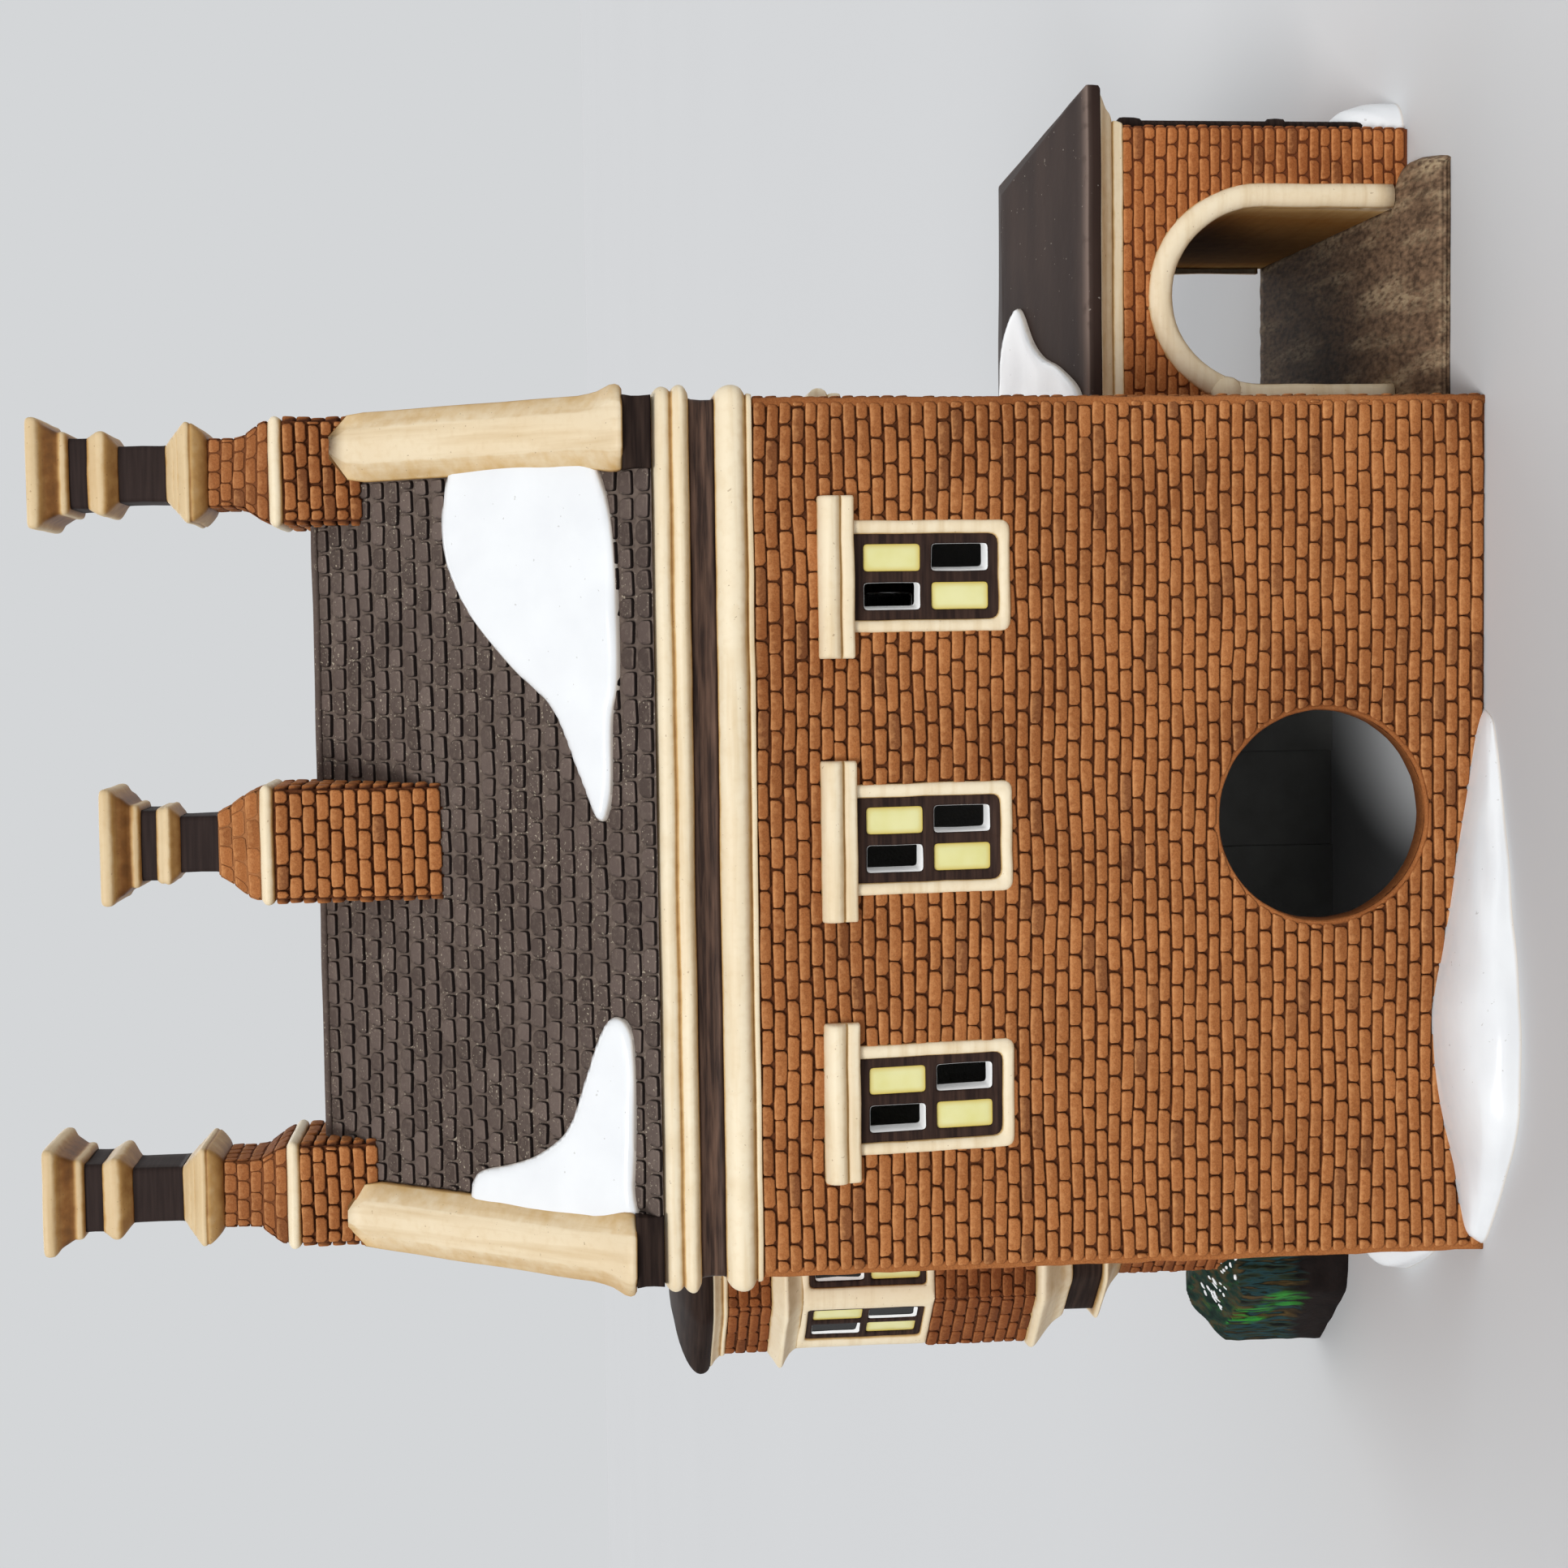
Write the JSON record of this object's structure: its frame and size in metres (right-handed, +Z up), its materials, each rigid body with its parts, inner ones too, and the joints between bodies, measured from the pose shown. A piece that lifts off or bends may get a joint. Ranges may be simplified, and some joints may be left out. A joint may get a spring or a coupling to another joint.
{
  "type": "ceramic christmas village house",
  "caption": "Hollow ceramic village house in painted brick with a slate gable roof, chimneys, corner turret, carriage porch and snow, and a lamp hole in its rear wall.",
  "frame": {"origin": "middle of the bounding box, on the surface the house stands on", "axes": "+Z up, +Y out of the rear wall with the lamp hole, +X towards the turret end, -X towards the carriage porch"},
  "size_m": [0.2168, 0.1178, 0.2213],
  "materials": {
    "brick": "matte painted brick with a dark wash in the joints",
    "trim": "matte cream paint with a tan wash in the hollows",
    "slate": "matte dark slate paint, dry-brushed",
    "dark": "matte dark brown paint",
    "sash": "dark brown bars with yellow panes",
    "door": "matte green paint",
    "drive": "matte brown, dry-brushed tan",
    "snow": "gloss white glaze",
    "leaf": "painted green leaves over a dark base"
  },
  "bodies": {
    "root": {"rear_wall": "brick", "front_wall": "brick", "porch_end_wall": "brick", "turret_end_wall": "brick", "porch_end_gable": "brick", "turret_end_gable": "brick", "porch_end_chimney_base": "brick", "porch_end_chimney_stack": "brick", "turret_end_chimney_base": "brick", "turret_end_chimney_stack": "brick", "middle_chimney_base": "brick", "middle_chimney_stack": "brick", "turret_pier": "brick", "turret_lower_drum": "brick", "turret_upper_drum": "brick", "porch_block": "brick", "lower_cornice": "trim", "upper_cornice": "trim", "coping_rear_porch_end": "trim", "coping_rear_turret_end": "trim", "coping_front_porch_end": "trim", "coping_front_turret_end": "trim", "porch_end_chimney_band": "trim", "porch_end_chimney_moulding": "trim", "porch_end_chimney_ring": "trim", "porch_end_chimney_cap": "trim", "turret_end_chimney_band": "trim", "turret_end_chimney_moulding": "trim", "turret_end_chimney_ring": "trim", "turret_end_chimney_cap": "trim", "middle_chimney_band": "trim", "middle_chimney_ring": "trim", "middle_chimney_cap": "trim", "opening_surrounds": "trim", "lintels": "trim", "turret_corbel": "trim", "turret_window_stage": "trim", "turret_cornice": "trim", "porch_rear_arch": "trim", "porch_front_arch": "trim", "porch_cornice": "trim", "rear_roof_slope": "slate", "front_roof_slope": "slate", "turret_roof": "slate", "porch_roof": "slate", "frieze_band": "dark", "porch_end_chimney_flue": "dark", "turret_end_chimney_flue": "dark", "middle_chimney_flue": "dark", "downpipe": "dark", "window_sashes": "sash", "front_door": "door", "porch_drive": "drive", "roof_snow_turret_end": "snow", "roof_snow_porch_end": "snow", "porch_roof_snow": "snow", "rear_drift": "snow", "side_drift": "snow", "pier_drift": "snow", "bush": "leaf"}
  },
  "joints": []
}
